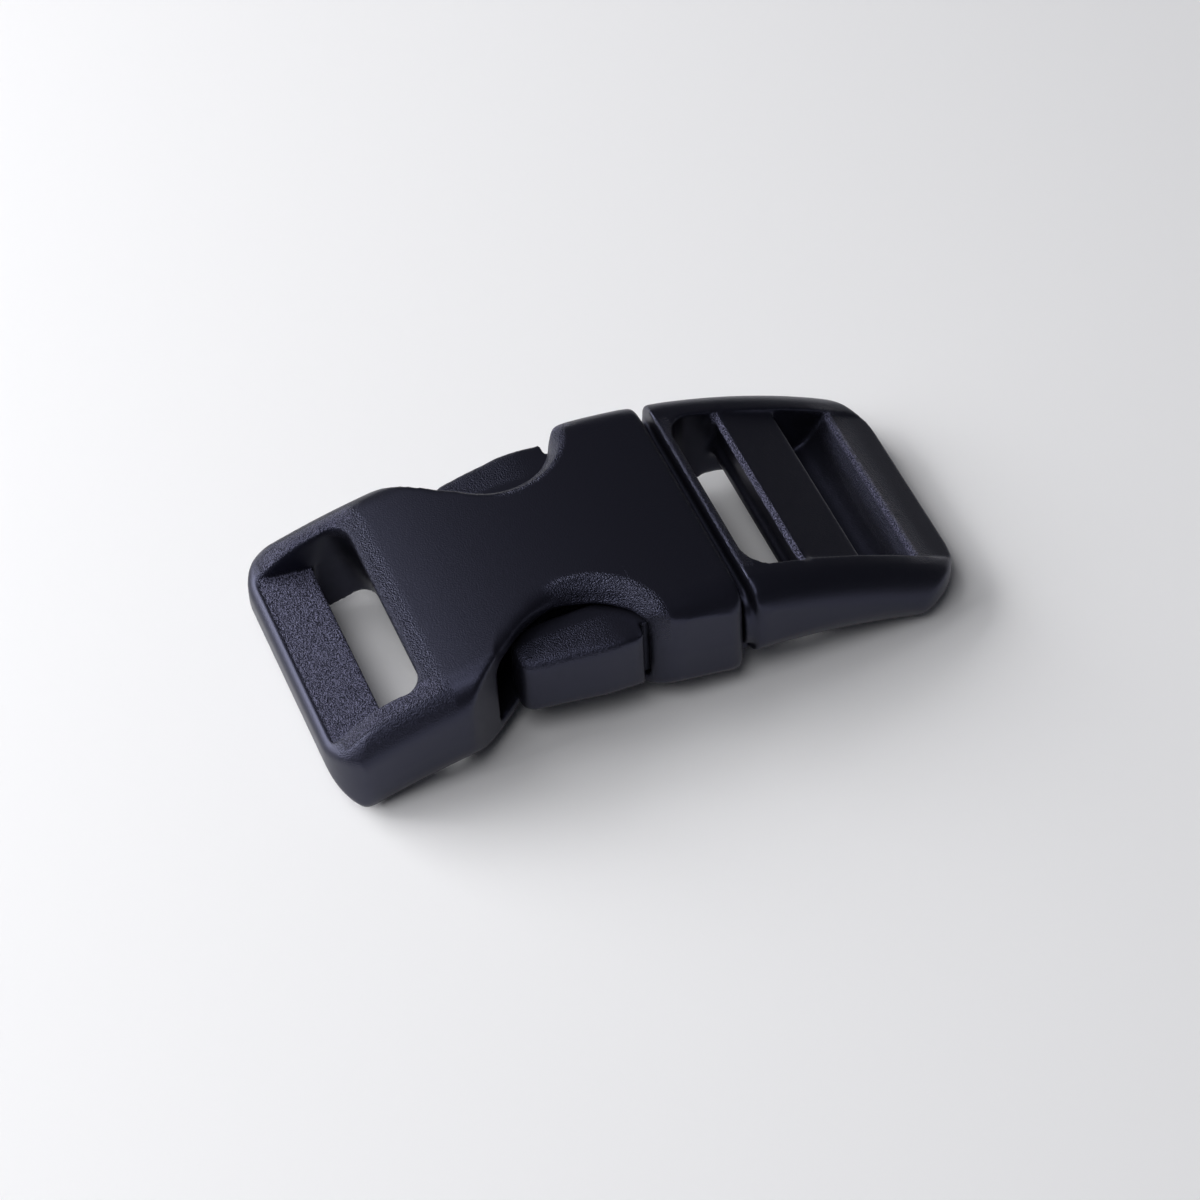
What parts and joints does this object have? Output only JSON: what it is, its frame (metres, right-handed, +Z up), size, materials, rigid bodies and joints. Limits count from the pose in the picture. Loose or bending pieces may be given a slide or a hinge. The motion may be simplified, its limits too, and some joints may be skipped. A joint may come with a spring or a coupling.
{
  "type": "side release buckle",
  "caption": "Arched plastic side release buckle for narrow webbing, fastened: a socket with thumb notches and a webbing bar, and a plug with a two-slot webbing adjuster.",
  "frame": {"origin": "on the resting surface, under the middle of the length and of the width", "axes": "+X along the webbing from the socket's end to the plug's end, +Y across it, +Z up through the arched top"},
  "size_m": [0.049, 0.022, 0.0106],
  "materials": {
    "black_acetal": "moulded acetal, fine spark-eroded texture"
  },
  "bodies": {
    "root": {"socket": "black_acetal", "plug": "black_acetal"}
  },
  "joints": []
}
